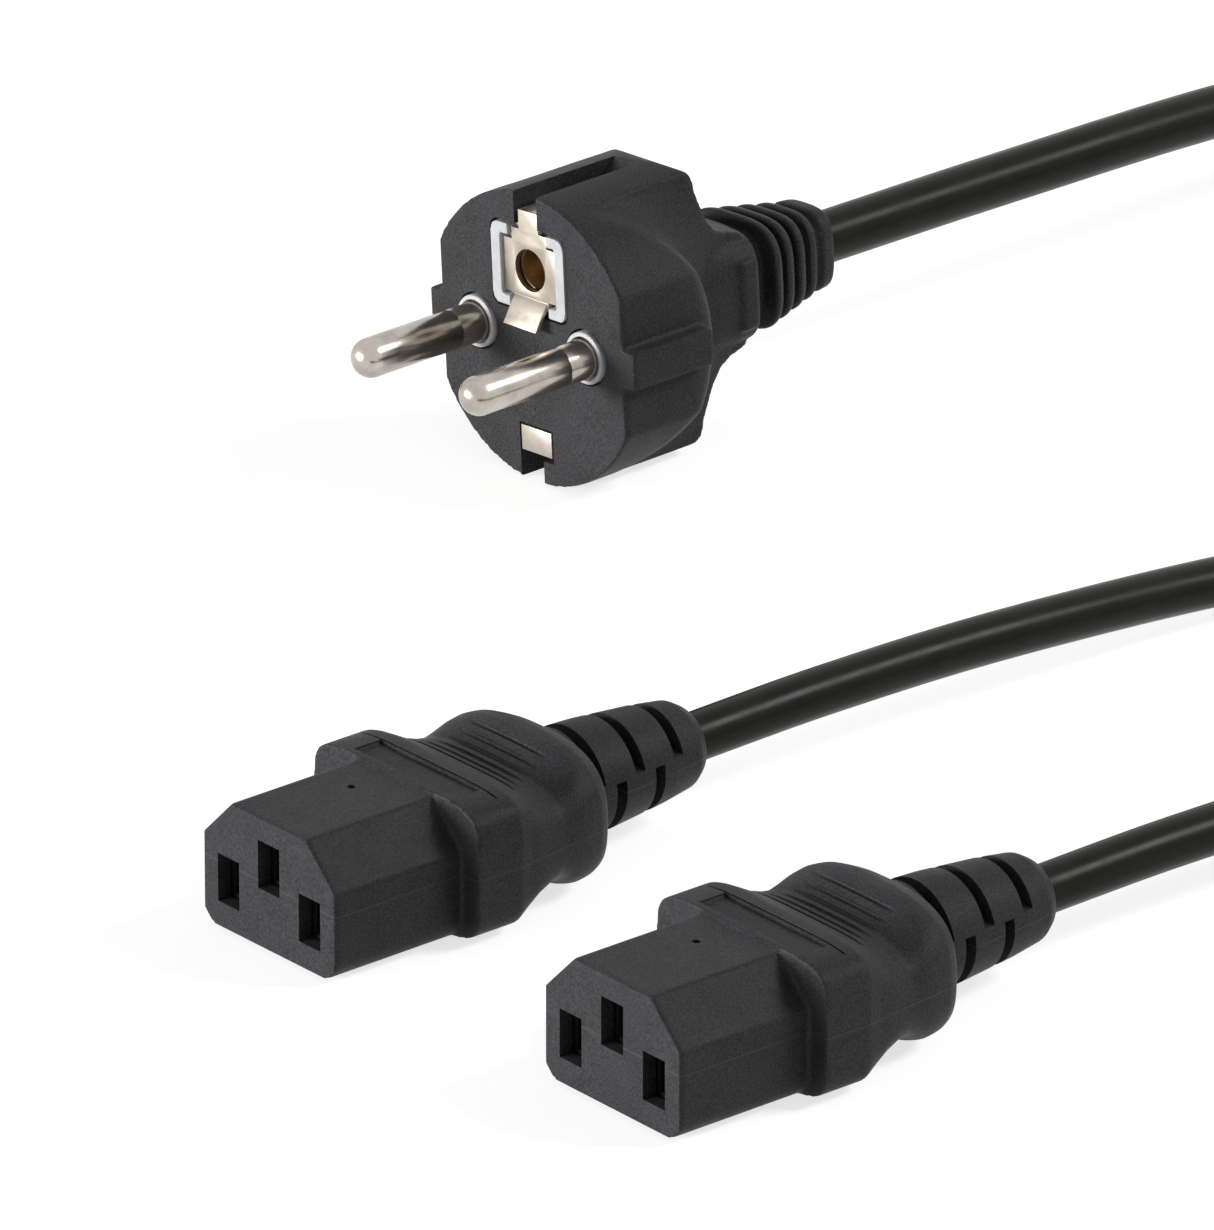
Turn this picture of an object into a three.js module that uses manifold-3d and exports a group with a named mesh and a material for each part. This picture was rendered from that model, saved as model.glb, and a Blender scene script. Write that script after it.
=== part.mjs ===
// Mains Y lead: one earthed hybrid plug feeds two appliance connectors through a moulded splitter block.
// Lengths are in millimetres, +Z is up, contact faces look towards -Y and the cords leave towards +Y.

import * as THREE from 'three';
import { mergeVertices } from 'three/addons/utils/BufferGeometryUtils.js';
import Module from 'manifold-3d';

const wasm = await Module();
wasm.setup();

// Fits
const clearance = 0.3; // gap left between neighbouring pieces
const reach = 2; // how far a cutting body runs past the face it opens

// Cords
const mainCord = 6.4; // outer diameter of the plug's cord
const legCord = 5.8; // outer diameter of each connector's cord
const core = 2.1; // insulated conductor
const coreCircle = 1.55; // radius that the three conductors lie on inside a cord
const coreBore = 2 * (coreCircle + core / 2 + clearance + 0.1); // bore that takes all three

// Plug
const plug = {
  radius: 18, // contact face and barrel
  flat: 15.9, // distance from the axis to each side flat
  rib: 4.6, // height of the guide rib left standing on each flat
  finWidth: 12, // upright web between the two finger scoops
  finTop: 20, // where the web's top edge ends
  scoopEnd: 25.5, // where the finger scoops would meet the web
  ribs: 5, // of the strain relief
  ribFront: 31.6,
  ribPitch: 2.5,
  ribLength: 1.5,
  earRadius: 11, // rounded end of each side flat
  earCentre: 4.8,
  pinSpacing: 19,
  pinDiameter: 4.8,
  pinLength: 19,
  collar: 6.4, // outer diameter of the insulating collar round a pin
  frameWidth: 12.6, // light frame round the earth socket
  frameHeight: 10.2,
  frameFront: -0.2,
  socketHeight: 8.4, // height of the earth socket above the pin line
  socketBore: 5.2,
  strip: 0.7, // thickness of the earth strap
  plateFront: 0.2, // front of the strap's plate inside the frame
  tailFront: 1.6, // front of its tail behind the moulding's face
  grooveWidth: 4, // notch in the top and bottom edge for the side earth contacts
  grooveFloor: 14.6,
  bridgeFront: 2.6,
  bridgeBack: 11,
  bridgeRadius: 13.4,
  pinWaist: 11.6, // where the pin narrows to its tail behind the bridge
  pinTail: 13,
  sleeveEnd: 15.4,
  sleeveFloor: 13.6,
  leadGap: 0.6, // between a terminal and the conductor behind it
  gather: 27, // where the conductors have closed up to the cord's bundle
  end: 44,
};

// Appliance connector; z = 0 is the line through the two outer slots
const connector = {
  bottom: -6,
  top: 9.7,
  middle: 2, // height of the cord axis and of the mould's parting line
  chamfer: 5,
  corner: 2.6,
  front: 18.1, // where the insertion nose meets the grip
  slotSpacing: 14,
  slotWidth: 3.7,
  slotHeight: 5.8,
  earthRise: 4,
  innerSlotWidth: 2.6, // behind the lead-in step
  innerSlotHeight: 4.8,
  chamberRoom: 1, // room for a contact beyond its slot
  carrierWall: 0.45, // least wall of the carrier beside a chamber
  wall: 1.9, // shell round the contact carrier
  flange: 2.85, // how far the grip stands out past the nose
  skin: 1.8, // depth of the lead-in
  carrierEnd: 20,
  gripEnd: 40.2,
  slots: 5, // of the strain relief, above and below in turn
  slotFront: 41.5,
  slotPitch: 3.05,
  gather: 34,
  end: 60,
};

// The nose is as wide as the outer chambers, the carrier's walls, its gap and the shell need
connector.width = connector.slotSpacing + connector.innerSlotWidth + connector.chamberRoom
  + 2 * (connector.carrierWall + clearance + connector.wall);

// Splitter block
const block = {
  length: 40,
  halfWidth: 12,
  halfHeight: 6.6,
  legSpacing: 13, // between the two leg cords
  boot: 15, // length of each moulded boot
};

// Hidden length of the main cord, put away in a round coil
const coil = {
  x: 2,
  y: 236,
  turns: 4, // two wide and two high
  radius: 36, // mean radius of the turns
  ease: 0.4, // room round the bundle inside the outer shape
};

// Places on the floor: contact face centre, turn about Z and roll about the cord axis, in degrees
const places = {
  plug: { x: -35.3, y: 18.8, z: plug.radius, yaw: 1.4, roll: -3.6 },
  first: { x: 46.4, y: -88.8, z: 6.5, yaw: -0.3, roll: 0 },
  second: { x: 101.6, y: -86.6, z: 6.5, yaw: -0.9, roll: 0 },
  block: { x: 72, y: 170, z: block.halfHeight, yaw: 0, roll: 0 },
};

const black = { color: 0x2b2b2d, roughness: 0.75, metalness: 0 };
const cordBlack = { color: 0x232320, roughness: 0.5, metalness: 0 };
const grey = { color: 0xd9d8d6, roughness: 0.5, metalness: 0 };
const nickel = { color: 0xb9b0a6, roughness: 0.25, metalness: 1 };
const brass = { color: 0xb08d57, roughness: 0.35, metalness: 1 };
const jackets = {
  line: { color: 0x6b4428, roughness: 0.6, metalness: 0 },
  neutral: { color: 0x2a5a9c, roughness: 0.6, metalness: 0 },
  earth: { color: 0x7f9a2e, roughness: 0.6, metalness: 0 },
};

// Turn a closed three.js geometry into a solid that can be joined and cut
function solidOf(geometry) {
  const bare = geometry.index ? geometry.toNonIndexed() : geometry.clone();
  bare.deleteAttribute('normal');
  bare.deleteAttribute('uv');
  const merged = mergeVertices(bare, 1e-4);
  const vertProperties = new Float32Array(merged.attributes.position.array);
  const triVerts = new Uint32Array(merged.index.array);
  return new wasm.Manifold(new wasm.Mesh({ numProp: 3, vertProperties, triVerts }));
}

function meshOf(name, solid, look) {
  const { vertProperties, triVerts } = solid.getMesh();
  const geometry = new THREE.BufferGeometry();
  geometry.setAttribute('position', new THREE.BufferAttribute(vertProperties, 3));
  geometry.setIndex(new THREE.BufferAttribute(triVerts, 1));
  geometry.computeVertexNormals();
  const mesh = new THREE.Mesh(geometry, new THREE.MeshStandardMaterial(look));
  mesh.name = name;
  return mesh;
}

const union = (...solids) => solids.reduce((sum, solid) => sum.add(solid));
const cut = (solid, ...tools) => tools.reduce((rest, tool) => rest.subtract(tool), solid);

// Extrude an outline drawn in X and Z from one Y to another
function prism(outline, front, back, curveSegments = 5) {
  const options = { depth: back - front, bevelEnabled: false, curveSegments };
  return solidOf(new THREE.ExtrudeGeometry(outline, options).rotateX(Math.PI / 2).translate(0, back, 0));
}

// Extrude an outline drawn in Y and Z across X, centred on x = 0
function slab(outline, width, curveSegments = 5) {
  const options = { depth: width, bevelEnabled: false, curveSegments };
  const bar = new THREE.ExtrudeGeometry(outline, options);
  return solidOf(bar.rotateX(Math.PI / 2).rotateZ(Math.PI / 2).translate(-width / 2, 0, 0));
}

function box(width, length, height, x, front, z) {
  return solidOf(new THREE.BoxGeometry(width, length, height).translate(x, front + length / 2, z));
}

// Cylinder along Y
function rod(diameter, front, back, x = 0, z = 0, segments = 20) {
  const bar = new THREE.CylinderGeometry(diameter / 2, diameter / 2, back - front, segments);
  return solidOf(bar.translate(x, (front + back) / 2, z));
}

// Profile of [radius, y] points turned about the Y axis
function turned(profile, segments = 20) {
  const points = profile.map(([radius, y]) => new THREE.Vector2(radius, y));
  return solidOf(new THREE.LatheGeometry(points, segments));
}

// Loft rounded sections along Y: each station has y, half width w, half height h, centre z and squareness n
function loft(stations, segments = 15) {
  const circle = new THREE.Shape().absarc(0, 0, 1, 0, 2 * Math.PI);
  const steps = stations.length - 1;
  const options = { depth: steps, steps, bevelEnabled: false, curveSegments: segments };
  const bar = new THREE.ExtrudeGeometry(circle, options);
  bar.rotateX(Math.PI / 2).translate(0, steps, 0);
  const position = bar.attributes.position;
  const squash = (value, n) => Math.sign(value) * Math.abs(value) ** (2 / n);
  for (let i = 0; i < position.count; i += 1) {
    const { y, w, h, x = 0, z = 0, n = 2 } = stations[Math.round(position.getY(i))];
    position.setXYZ(i, x + squash(position.getX(i), n) * w, y, z + squash(position.getZ(i), n) * h);
  }
  return solidOf(bar);
}

function roundedBox(width, height, radius, x = 0, z = 0) {
  const w = width / 2 - radius;
  const h = height / 2 - radius;
  return new THREE.Shape()
    .absarc(x + w, z - h, radius, -Math.PI / 2, 0)
    .absarc(x + w, z + h, radius, 0, Math.PI / 2)
    .absarc(x - w, z + h, radius, Math.PI / 2, Math.PI)
    .absarc(x - w, z - h, radius, Math.PI, 1.5 * Math.PI);
}

// Round bar that follows a list of points, with a section of few sides
function tube(points, diameter, steps, sides = 10) {
  const section = new THREE.Shape();
  for (let i = 0; i < sides; i += 1) {
    const angle = (2 * Math.PI * (i + 0.5)) / sides;
    const place = [Math.cos(angle) * diameter / 2, Math.sin(angle) * diameter / 2];
    if (i === 0) section.moveTo(...place);
    else section.lineTo(...place);
  }
  const extrudePath = new THREE.CatmullRomCurve3(points.map((p) => new THREE.Vector3(...p)), false, 'centripetal');
  return solidOf(new THREE.ExtrudeGeometry(section, { steps, bevelEnabled: false, extrudePath }));
}

const coreAngles = { line: Math.PI * 7 / 6, neutral: -Math.PI / 6, earth: Math.PI / 2 };

// One conductor, from its terminal into the cord's bundle and on to the rear end of the moulding
function lead(role, terminal, gather, end, height) {
  const x = Math.cos(coreAngles[role]) * coreCircle;
  const z = height + Math.sin(coreAngles[role]) * coreCircle;
  const [fromX, fromY, fromZ] = terminal;
  const span = gather - fromY;
  const points = [
    terminal,
    [fromX + (x - fromX) * 0.03, fromY + span * 0.1, fromZ + (z - fromZ) * 0.03],
    [x + (fromX - x) * 0.12, gather - span * 0.18, z + (fromZ - z) * 0.12],
    [x, gather + 2, z],
    [x, end, z],
  ];
  return tube(points, core, 12, 6);
}

function placed(group, { x, y, z, yaw, roll }) {
  group.position.set(x, y, z);
  group.rotation.set(0, THREE.MathUtils.degToRad(roll), THREE.MathUtils.degToRad(yaw), 'ZYX');
  return group;
}

// Outline of the plug's face: a disc with two side flats that keep a guide rib at mid height
function plugOutline() {
  const { radius, flat, rib } = plug;
  const flatAngle = Math.acos(flat / radius);
  const ribX = Math.sqrt(radius ** 2 - (rib / 2) ** 2);
  return new THREE.Shape()
    .absarc(0, 0, radius, flatAngle, Math.PI - flatAngle)
    .lineTo(-flat, rib / 2)
    .lineTo(-ribX, rib / 2)
    .lineTo(-ribX, -rib / 2)
    .lineTo(-flat, -rib / 2)
    .absarc(0, 0, radius, Math.PI + flatAngle, 2 * Math.PI - flatAngle)
    .lineTo(flat, -rib / 2)
    .lineTo(ribX, -rib / 2)
    .lineTo(ribX, rib / 2)
    .lineTo(flat, rib / 2);
}

// One finger scoop: everything behind a surface that leaves the ear and sweeps in to the upright web
function scoop(side) {
  const levels = 14;
  const along = 8;
  const plan = new THREE.Shape().moveTo(0, 0);
  for (let i = 1; i <= along; i += 1) plan.lineTo(i / along, 0);
  plan.lineTo(1, 1).lineTo(0, 1);
  const bar = new THREE.ExtrudeGeometry(plan, { depth: levels, steps: levels, bevelEnabled: false });
  const position = bar.attributes.position;
  const outer = plug.radius + reach;
  const inner = plug.finWidth / 2;
  for (let i = 0; i < position.count; i += 1) {
    // count the steps from the side that keeps the faces pointing outwards
    const t = side > 0 ? 1 - position.getX(i) : position.getX(i);
    const z = (2 * position.getZ(i) / levels - 1) * outer;
    const x = outer + (inner - outer) * t;
    const rim = plug.earCentre + Math.sqrt(Math.max(plug.earRadius ** 2 - z ** 2, 16));
    const swept = Math.max(0, (plug.flat - x) / (plug.flat - inner));
    const front = rim + (plug.scoopEnd - rim) * swept ** 2.4;
    position.setXYZ(i, side * x, position.getY(i) > 0.5 ? plug.end : front, z);
  }
  return solidOf(bar);
}

// Side view of the barrel's rear end and of the upright web between the scoops
function rearProfile() {
  const { radius, finTop } = plug;
  const curve = (points, count) => new THREE.SplineCurve(points.map((p) => new THREE.Vector2(...p))).getPoints(count);
  const half = [
    new THREE.Vector2(-1, radius + 1),
    ...curve([[8, radius + 1], [14, radius + 0.4], [17.6, radius - 0.2], [finTop, radius - 1.4]], 6),
    ...curve([[finTop + 0.4, radius - 2.4], [finTop + 1.1, 12.6], [finTop + 3.2, 8.9], [finTop + 8, 7]], 6),
  ];
  return new THREE.Shape([...half, ...half.map((p) => new THREE.Vector2(p.x, -p.y)).reverse()]);
}

function plugShell() {
  const { radius, finWidth, scoopEnd, end, ribs, ribFront, ribPitch, ribLength } = plug;
  const barrel = cut(prism(plugOutline(), 0, scoopEnd, 11), scoop(1), scoop(-1));
  const tail = barrel.intersect(slab(rearProfile(), 2 * radius + 2));
  const fin = slab(rearProfile(), finWidth).intersect(rod(2 * radius, 0, end, 0, 0, 52));
  const neck = loft([
    { y: 12, w: 7.4, h: 7.4, n: 4 },
    { y: 26, w: 8.2, h: 7.2, n: 4 },
    { y: 28.9, w: 8.2, h: 6.9, n: 4 },
    { y: 28.9, w: 5.6, h: 5.2, n: 4 },
    { y: end - 0.6, w: 4, h: 4.1, n: 4 },
  ], 12);
  // flat ribs of the strain relief, each a little smaller than the one before it
  const relief = [];
  for (let i = 0; i < ribs; i += 1) {
    const front = ribFront + ribPitch * i;
    const back = i === ribs - 1 ? end : front + ribLength;
    const w = 7.9 - 0.75 * i;
    const h = 6.9 - 0.4 * i;
    relief.push(loft([{ y: front, w, h, n: 3.4 }, { y: back, w: w - 0.35, h: h - 0.25, n: 3.4 }], 12));
  }
  return union(tail, fin, neck, ...relief);
}

// Room in the plug's moulding for its bridge, contacts and conductors, all of it open to the face or the cord
function plugRoom() {
  const { collar, pinSpacing, bridgeFront, bridgeBack, bridgeRadius, socketHeight } = plug;
  const { frameWidth, frameHeight, grooveWidth, grooveFloor, radius, gather, end } = plug;
  const gap = 2 * clearance;
  const groove = (side) => {
    const depth = radius + reach - grooveFloor;
    const wall = new THREE.Shape()
      .moveTo(-reach, grooveFloor * side)
      .lineTo(12, grooveFloor * side)
      .lineTo(16.5, (radius + 0.4) * side)
      .lineTo(16.5, (grooveFloor + depth) * side)
      .lineTo(-reach, (grooveFloor + depth) * side);
    return slab(wall, grooveWidth);
  };
  return union(
    prism(roundedBox(frameWidth + gap, frameHeight + gap, 1.4, 0, socketHeight), -reach, bridgeFront + 1),
    box(grooveWidth, 1.4 + reach, 1.8, 0, -reach, grooveFloor - 0.4),
    rod(collar + gap, -reach, bridgeFront + 1, -pinSpacing / 2),
    rod(collar + gap, -reach, bridgeFront + 1, pinSpacing / 2),
    rod(2 * bridgeRadius + gap, bridgeFront - clearance, bridgeBack + clearance, 0, 0, 36),
    box(5.2 + gap, 2.2, 20.5, 0, 0.8, -4.75),
    box(5.2 + gap, 1 + reach, 4.1, 0, -reach, -12.95),
    loft([
      { y: bridgeBack - 1, w: 12.8, h: 12.8, z: 0.6 },
      { y: 14, w: 12.4, h: 12.2, z: 1.2 },
      { y: 16.4, w: 10.9, h: 10.2, z: 3, n: 2.4 },
      { y: 19, w: 8.6, h: 8.6, z: 2.4, n: 2.4 },
      { y: 22.6, w: 5.7, h: 5.8, z: 1.2 },
      { y: gather + 1.5, w: coreBore / 2, h: coreBore / 2 },
      { y: end + reach, w: coreBore / 2, h: coreBore / 2 },
    ], 12),
    groove(1),
    groove(-1),
  );
}

function makePlug() {
  const { radius, pinSpacing, pinDiameter, pinLength, collar, socketHeight, socketBore, strip } = plug;
  const { bridgeFront, bridgeBack, bridgeRadius, frameWidth, frameHeight, frameFront, gather, end } = plug;
  const { plateFront, tailFront, pinWaist, pinTail, sleeveEnd, sleeveFloor, leadGap } = plug;
  const half = pinSpacing / 2;
  const gap = 2 * clearance;
  const sleeveDiameter = socketBore + 1.2;

  // Light insulating bridge: a disc behind the face with a frame and two collars that come through it
  const plateRoom = reach + plateFront + strip + clearance;
  const bridge = cut(
    union(
      rod(2 * bridgeRadius, bridgeFront, bridgeBack, 0, 0, 36),
      prism(roundedBox(frameWidth, frameHeight, 1.1, 0, socketHeight), frameFront, bridgeFront + 0.2),
      rod(collar, -0.5, bridgeFront + 1, -half),
      rod(collar, -0.5, bridgeFront + 1, half),
    ),
    box(6 + gap, plateRoom, 14, 0, -reach, socketHeight + 0.6),
    box(8.8 + gap, plateRoom, 7 + gap, 0, -reach, socketHeight),
    box(5.2 + gap, reach + bridgeFront, 5, 0, -reach, 2.5),
    rod(sleeveDiameter + gap, 0, bridgeBack + reach, 0, socketHeight),
    rod(pinDiameter + gap, -reach, bridgeBack + reach, -half),
    rod(pinDiameter + gap, -reach, bridgeBack + reach, half),
  );

  const pin = (side) => {
    const r = pinDiameter / 2;
    const nose = [[0, -pinLength]];
    for (let i = 1; i <= 4; i += 1) {
      const angle = (i / 4) * Math.PI / 2;
      nose.push([Math.sin(angle) * r, -pinLength + r - Math.cos(angle) * r]);
    }
    return turned([...nose, [r, pinWaist], [1.3, pinWaist], [1.3, pinTail], [0, pinTail]]).translate([side * half, 0, 0]);
  };

  // Earth strap, folded from one strip: a lip in the top notch, the plate round the socket,
  // a tongue bent out under it, and a tail that comes to the face again above the bottom notch
  const tailBack = tailFront + strip;
  const tongue = new THREE.Shape()
    .moveTo(0.9, 4.7)
    .lineTo(plateFront, 4.9)
    .quadraticCurveTo(-0.8, 4.3, -1.9, 1.9)
    .lineTo(-1.3, 1.6)
    .quadraticCurveTo(-0.5, 3.4, 0.9, 4);
  const strap = cut(
    union(
      box(6, strip, 9.2, 0, plateFront, 8.6),
      box(8.8, strip, 7, 0, plateFront, socketHeight),
      box(3.4, strip, 2.5, 0, plateFront, 14.3),
      box(3.4, 7, strip, 0, plateFront, 15.3),
      box(5.2, tailBack - plateFront, strip, 0, plateFront, 4.35),
      box(5.2, strip, 19, 0, tailFront, -4.8),
      box(5.2, tailBack, 3.1, 0, 0, -12.75),
      slab(tongue, 5.6),
    ),
    rod(socketBore, -reach, plateFront + strip + 0.1, 0, socketHeight, 24),
  );

  const sleeveFront = plateFront + strip + clearance;
  const sleeve = cut(
    rod(sleeveDiameter, sleeveFront, sleeveEnd, 0, socketHeight),
    rod(socketBore - 0.2, sleeveFront - reach, sleeveFloor, 0, socketHeight),
    box(0.8, 9, 8, 0, sleeveFront - reach, socketHeight - 4),
  );

  const overmould = cut(plugShell(), plugRoom());
  return placed(new THREE.Group().add(
    meshOf('plug_overmould', overmould, black),
    meshOf('plug_bridge', bridge, grey),
    meshOf('plug_line_pin', pin(-1), nickel),
    meshOf('plug_neutral_pin', pin(1), nickel),
    meshOf('plug_earth_strap', strap, nickel),
    meshOf('plug_earth_sleeve', sleeve, brass),
    meshOf('plug_line_lead', lead('line', [-half, pinTail + leadGap, 0], gather, end, 0), jackets.line),
    meshOf('plug_neutral_lead', lead('neutral', [half, pinTail + leadGap, 0], gather, end, 0), jackets.neutral),
    meshOf('plug_earth_lead', lead('earth', [0, sleeveEnd + leadGap, socketHeight], gather, end, 0), jackets.earth),
  ), places.plug);
}

// Outline of the connector's nose: two cut corners on the earth side, two rounded ones below
function noseOutline(inset = 0) {
  const { width, top, bottom, chamfer, corner } = connector;
  const w = width / 2 - inset;
  const high = top - inset;
  const low = bottom + inset;
  const c = chamfer - inset * (2 - Math.SQRT2);
  const r = Math.max(corner - inset, 0.6);
  return new THREE.Shape()
    .moveTo(w, low + r)
    .lineTo(w, high - c)
    .lineTo(w - c, high)
    .lineTo(-w + c, high)
    .lineTo(-w, high - c)
    .lineTo(-w, low + r)
    .absarc(-w + r, low + r, r, Math.PI, 1.5 * Math.PI)
    .absarc(w - r, low + r, r, -Math.PI / 2, 0);
}

const slotPlaces = () => {
  const { slotSpacing, earthRise } = connector;
  return {
    line: [-slotSpacing / 2, 0],
    earth: [0, earthRise],
    neutral: [slotSpacing / 2, 0],
  };
};

function connectorShell() {
  const { width, flange, front, middle: z, gripEnd, end } = connector;
  const nose = prism(noseOutline(), 0, front + 3);
  const side = width / 2 + flange;
  const crown = 8.2; // half height of the flange
  const valley = 6.3; // and of the finger valley behind it
  // grip: a flange, a finger valley and a rear swell, all about the mould's parting line
  const grip = loft([
    { y: front, w: side, h: crown, z, n: 6 },
    { y: front + 6.3, w: side, h: crown, z, n: 6 },
    { y: front + 7.9, w: side - 0.2, h: crown - 0.5, z, n: 5 },
    { y: front + 9.9, w: side - 0.5, h: valley + 0.6, z, n: 4 },
    { y: front + 11.9, w: side - 0.8, h: valley, z, n: 3.4 },
    { y: front + 13.5, w: side - 1, h: valley + 0.1, z, n: 3 },
    { y: front + 14.9, w: side - 1.1, h: valley + 1, z: z + 0.1, n: 2.9 },
    { y: front + 16.3, w: side - 1.2, h: crown + 0.1, z: z + 0.1, n: 2.8 },
    { y: front + 17.7, w: side - 1.4, h: crown + 0.4, z: z + 0.1, n: 2.8 },
    { y: front + 19.3, w: side - 1.7, h: crown + 0.3, z: z + 0.1, n: 2.8 },
    { y: gripEnd - 1.2, w: side - 2.7, h: crown - 0.3, z, n: 2.8 },
    { y: gripEnd, w: side - 5.3, h: 7.2, z, n: 2.8 },
  ], 14);
  const relief = loft([
    { y: gripEnd - 4, w: 7, h: 6.9, z },
    { y: 46, w: 6.7, h: 6.5, z },
    { y: 54, w: 5.9, h: 5.8, z },
    { y: end - 1.8, w: 5.3, h: 5.2, z },
    { y: end, w: 3.9, h: 3.9, z },
  ], 12);
  // slots of the strain relief, taken in turn from above and from below
  const slots = [];
  for (let i = 0; i < connector.slots; i += 1) {
    const above = i % 2 === 0;
    const y = connector.slotFront + connector.slotPitch * i;
    const ring = cut(rod(18, y, y + 1.5, 0, z, 24), rod(7.6, y - 1, y + 3, 0, z, 16));
    slots.push(ring.intersect(box(20, 4, 12, 0, y - 1, z + (above ? 7.6 : -4.6))));
  }
  return cut(union(nose, grip, relief), ...slots);
}

function connectorRoom() {
  const { slotWidth, slotHeight, skin, wall, carrierEnd, middle: z, gather, end } = connector;
  const leadIns = Object.values(slotPlaces()).map(([x, up]) => box(slotWidth, reach + skin + 0.5, slotHeight, x, -reach, up));
  return union(
    ...leadIns,
    prism(noseOutline(wall), skin, carrierEnd + clearance),
    loft([
      { y: carrierEnd - 1, w: 9.6, h: 5.6, z: 1.6, n: 3.4 },
      { y: 27, w: 7.4, h: 5, z: 1.8, n: 2.4 },
      { y: gather + 1.5, w: coreBore / 2, h: coreBore / 2, z },
      { y: end + reach, w: coreBore / 2, h: coreBore / 2, z },
    ], 12),
  );
}

function makeConnector(name, place) {
  const { innerSlotWidth, innerSlotHeight, chamberRoom, skin, wall, carrierEnd, middle, gather, end } = connector;
  const mouth = skin + clearance;
  const chamberWidth = innerSlotWidth + chamberRoom;
  const chamberHeight = innerSlotHeight + chamberRoom;
  const carrier = cut(
    prism(noseOutline(wall + clearance), mouth, carrierEnd),
    ...Object.values(slotPlaces()).flatMap(([x, z]) => [
      box(innerSlotWidth, 4, innerSlotHeight, x, 0, z),
      box(chamberWidth, carrierEnd, chamberHeight, x, mouth + 1.4, z),
    ]),
  );
  const contact = ([x, z]) => {
    const width = chamberWidth - 2 * clearance;
    const height = chamberHeight - 2 * clearance;
    const front = mouth + 1.4 + clearance;
    const sheet = 0.45;
    return union(
      cut(
        box(width, 13, height, x, front, z),
        box(width - 2 * sheet, 12, height - 2 * sheet, x, front - 1, z),
        box(0.5, 8, 10, x, front - 1, z + 4),
      ),
      rod(2.2, front + 12.5, carrierEnd + 0.4, x, z, 12),
    );
  };
  const group = new THREE.Group();
  group.add(meshOf(`${name}_overmould`, cut(connectorShell(), connectorRoom()), black));
  group.add(meshOf(`${name}_carrier`, carrier, black));
  for (const [role, spot] of Object.entries(slotPlaces())) {
    const terminal = [spot[0], carrierEnd + 0.9, spot[1]];
    group.add(meshOf(`${name}_${role}_contact`, contact(spot), brass));
    group.add(meshOf(`${name}_${role}_lead`, lead(role, terminal, gather, end, middle), jackets[role]));
  }
  return placed(group, place);
}

// Splitter: one moulded block with a boot for each cord, the two legs towards -Y and the plug's cord towards +Y
function makeBlock() {
  const { length, halfWidth, halfHeight, legSpacing, boot } = block;
  const body = loft([
    { y: 0, w: halfWidth - 1, h: halfHeight - 1, n: 3.4 },
    { y: 1.2, w: halfWidth, h: halfHeight, n: 3.4 },
    { y: length * 0.45, w: halfWidth, h: halfHeight, n: 3.4 },
    { y: length * 0.8, w: halfWidth * 0.68, h: halfHeight, n: 3 },
    { y: length - 1, w: halfWidth * 0.56, h: halfHeight * 0.96, n: 2.6 },
    { y: length, w: halfWidth * 0.48, h: halfHeight * 0.84, n: 2.6 },
  ]);
  const tapered = (x, front, back, thick, thin) => loft([
    { y: front, w: thin, h: thin, x },
    { y: back, w: thick, h: thick, x },
  ], 10);
  const legs = [-1, 1].map((side) => tapered(side * legSpacing / 2, -boot, 4, 5, legCord / 2 + 1));
  const root = tapered(0, length - 4, length + boot, mainCord / 2 + 1.1, 5.4);
  return placed(new THREE.Group().add(meshOf('splitter_block', union(body, ...legs, root), black)), places.block);
}

// A point of a placed piece in the common frame
function out(place, x, y, z) {
  const turn = new THREE.Euler(0, THREE.MathUtils.degToRad(place.roll), THREE.MathUtils.degToRad(place.yaw), 'ZYX');
  const p = new THREE.Vector3(x, y, z).applyEuler(turn);
  return [place.x + p.x, place.y + p.y, place.z + p.z];
}

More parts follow.
